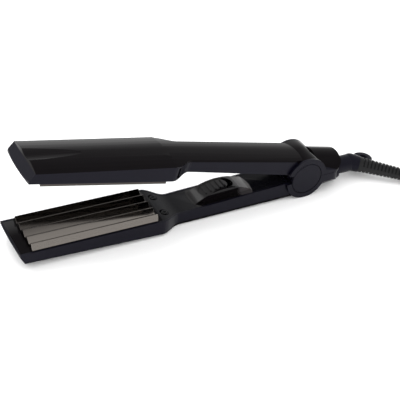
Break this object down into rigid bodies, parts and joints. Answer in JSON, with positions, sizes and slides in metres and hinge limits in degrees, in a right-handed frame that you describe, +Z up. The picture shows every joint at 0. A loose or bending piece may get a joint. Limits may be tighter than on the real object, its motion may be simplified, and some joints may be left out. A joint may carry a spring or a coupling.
{
  "type": "hair crimper",
  "caption": "Handheld hair crimper: two hinged arms with meshing corrugated heated plates, sliding switch and a swivelling mains lead.",
  "frame": {"origin": "on the table plane, under the middle of the box round the crimper without its lead", "axes": "+X from the tips to the lead, -Y the near side, +Z up from the table"},
  "size_m": [0.6448, 0.0759, 0.0907],
  "materials": {
    "black_gloss": "high gloss",
    "black_polished": "polished",
    "black_satin": "satin",
    "black_panel": "fine grain",
    "coated_plate": "ceramic coated, satin",
    "heater_case": "plain",
    "mica": "flaky",
    "steel": "plain",
    "black_steel": "blackened",
    "wire_dark": "silicone sleeve",
    "board_green": "lacquered board",
    "fuse_white": "ceramic",
    "grey_plastic": "self-lubricating",
    "brass": "plain",
    "black_soft": "soft moulded",
    "chrome": "nickel plated"
  },
  "bodies": {
    "lower_arm": {"lower_cover": "black_gloss", "lower_shell": "black_satin", "lower_inner_panel": "black_panel", "lower_plate_carrier": "black_gloss", "lower_plate": "coated_plate", "lower_heater": "heater_case", "lower_mica_sheet": "mica", "lower_heater_clamp": "steel", "lower_screws": "black_steel", "lower_heater_leads": "wire_dark", "hinge_pin": "steel", "torsion_spring": "steel", "hinge_cap_near": "black_gloss", "hinge_cap_far": "black_gloss", "circuit_board": "board_green", "slide_switch": "steel", "switch_housing": "black_polished", "thermal_fuse": "fuse_white", "swivel_bush": "grey_plastic", "terminal_block": "fuse_white", "contact_brushes": "brass", "supply_leads": "wire_dark"},
    "upper_arm": {"upper_cover": "black_gloss", "upper_shell": "black_satin", "upper_inner_panel": "black_panel", "upper_plate_carrier": "black_gloss", "upper_plate": "coated_plate", "upper_heater": "heater_case", "upper_mica_sheet": "mica", "upper_heater_clamp": "steel", "upper_screws": "black_steel", "upper_heater_leads": "wire_dark"},
    "switch_slider": {"switch_slider": "black_polished"},
    "cord_swivel": {"contact_rings": "brass", "swivel_elbow": "black_satin", "strain_relief": "black_soft", "mains_cord": "black_soft", "cord_hank": "black_soft", "hank_tie": "black_soft", "plug_tail": "black_soft", "plug_body": "black_soft", "plug_pins": "chrome"}
  },
  "joints": [
    {"name": "arm_hinge", "type": "hinge", "parent": "lower_arm", "child": "upper_arm", "pos_m": [0.08925, 0, 0.0196], "axis": [0, 1, 0], "range_deg": [-12.5, 0], "stiffness_Nm_per_rad": 1, "springref_deg": 20.05, "deforming": ["torsion_spring"]},
    {"name": "switch_slide", "type": "slide", "parent": "lower_arm", "child": "switch_slider", "axis": [0.9989, 0, 0.0465], "range_m": [0, 0.005]},
    {"name": "cord_swivel", "type": "hinge", "parent": "lower_arm", "child": "cord_swivel", "pos_m": [0.12525, 0, 0.0124], "axis": [1, 0, 0], "continuous": true}
  ]
}
